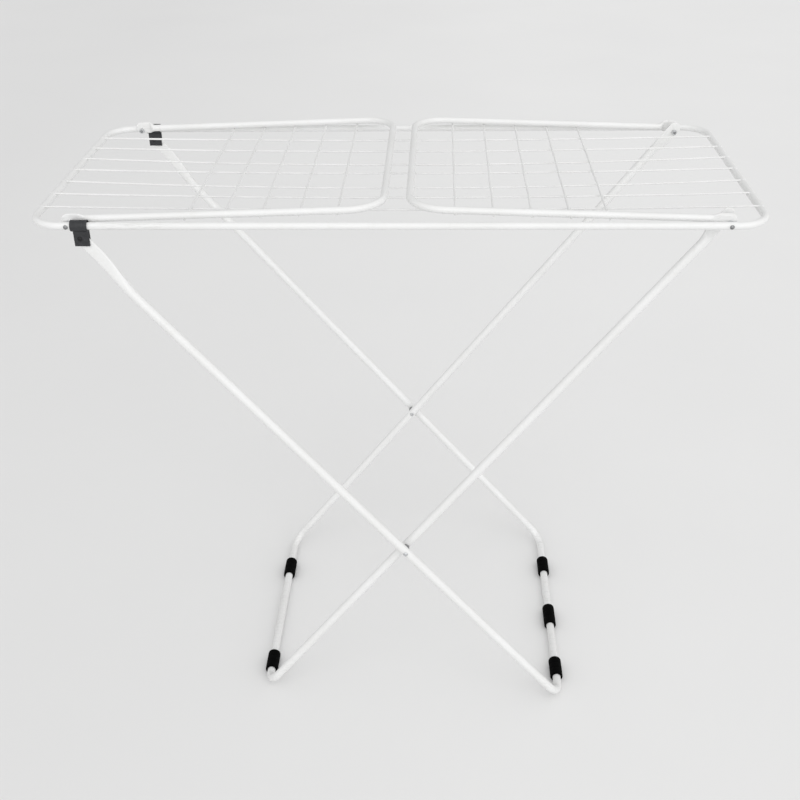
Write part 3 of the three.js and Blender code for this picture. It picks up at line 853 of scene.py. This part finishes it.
# ---- Camera, floor and light ----
def build_camera():
    pitch, yaw, roll = (math.radians(a) for a in (CAMERA_PITCH, CAMERA_YAW, CAMERA_ROLL))
    ahead = Vector((math.sin(yaw) * math.cos(pitch), math.cos(yaw) * math.cos(pitch), -math.sin(pitch)))
    level = Vector((math.cos(yaw), -math.sin(yaw), 0))
    upright = level.cross(ahead)
    right = level * math.cos(roll) + upright * math.sin(roll)
    top = upright * math.cos(roll) - level * math.sin(roll)
    data = bpy.data.cameras.new("camera")
    data.lens = CAMERA_LENS
    data.sensor_width = CAMERA_SENSOR
    data.clip_end = 60
    camera = bpy.data.objects.new("camera", data)
    basis = Matrix((right, top, -ahead)).transposed().to_4x4()
    camera.matrix_world = Matrix.Translation(CAMERA_PLACE) @ basis
    bpy.context.scene.collection.objects.link(camera)
    bpy.context.scene.camera = camera


def build_floor():
    n = Nodes("studio_floor")
    color = n.mix(n.remap(n.noise(1.3, 3), 0.3, 0.7), rgb(0.800, 0.800, 0.798), rgb(0.815, 0.815, 0.812))
    # Painted shade: the floor colour darkens towards -X, standing in for the light falling off to the
    # left.
    color = n.mix(n.remap(n.axis(0), -2.0, 0.6, 0.35, 0.0), color, rgb(0.58, 0.58, 0.58))
    rough = n.remap(n.noise(30, 3), 0.3, 0.7, 0.75, 0.85)
    n.finish(color, rough, n.bump(n.noise(900, 2), 0.04, 0.0002))
    steps = 24
    vertices, faces = [], []
    for i in range(steps + 1):
        for j in range(steps + 1):
            x, y = (i / steps - 0.5) * FLOOR_SPAN, (j / steps - 0.5) * FLOOR_SPAN
            vertices.append((x, y + FLOOR_SHIFT, 0.0))
    for i in range(steps):
        for j in range(steps):
            a = i * (steps + 1) + j
            faces.append((a, a + steps + 1, a + steps + 2, a + 1))
    mesh = bpy.data.meshes.new("studio_floor")
    mesh.from_pydata(vertices, [], faces)
    mesh.materials.append(n.material)
    floor = bpy.data.objects.new("studio_floor", mesh)
    bpy.context.scene.collection.objects.link(floor)


def build_light():
    """A broad soft light from above, over surroundings that are brighter in front and to the right."""
    data = bpy.data.lights.new("soft_light", "SUN")
    data.energy = SUN_ENERGY
    data.angle = math.radians(SUN_SPREAD)
    light = bpy.data.objects.new("soft_light", data)
    light.rotation_euler = SUN_DIRECTION.to_track_quat("-Z", "Y").to_euler()
    bpy.context.scene.collection.objects.link(light)
    world = bpy.data.worlds.new("studio")
    world.use_nodes = True
    tree = world.node_tree
    background = tree.nodes["Background"]
    background.inputs["Color"].default_value = rgb(1.0, 1.0, 1.0)
    direction = tree.nodes.new("ShaderNodeTexCoord").outputs["Generated"]
    tilt = tree.nodes.new("ShaderNodeVectorMath")
    tilt.operation = "DOT_PRODUCT"
    tilt.inputs[1].default_value = SKY_TILT
    level = tree.nodes.new("ShaderNodeMath")
    level.inputs[1].default_value = SKY_LEVEL
    tree.links.new(direction, tilt.inputs[0])
    tree.links.new(tilt.outputs["Value"], level.inputs[0])
    tree.links.new(level.outputs[0], background.inputs["Strength"])
    scene = bpy.context.scene
    scene.world = world
    scene.view_settings.view_transform = "Standard"


build_camera()
build_floor()
build_light()
build_frame()
build_frame_wires()
build_frame_welds()
build_wing("left")
build_wing("right")
FRAME_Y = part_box("main_frame_tube")[1].y - CAD_RAIL_RADIUS
build_leg("inner", joint_point("leg_fold"), INNER_HALF_WIDTH, INNER_TAB_Y, INNER_TAB, INNER_LEG_RISE,
          ["inner_leg_pad_1", "inner_leg_pad_2"])
build_leg("outer", joint_point("near_clip_turn"), FRAME_Y, FRAME_Y, OUTER_TAB, OUTER_LEG_RISE,
          ["outer_leg_pad_1", "outer_leg_pad_2", "outer_leg_pad_3"])
build_clip("near")
build_clip("far")
build_hardware()
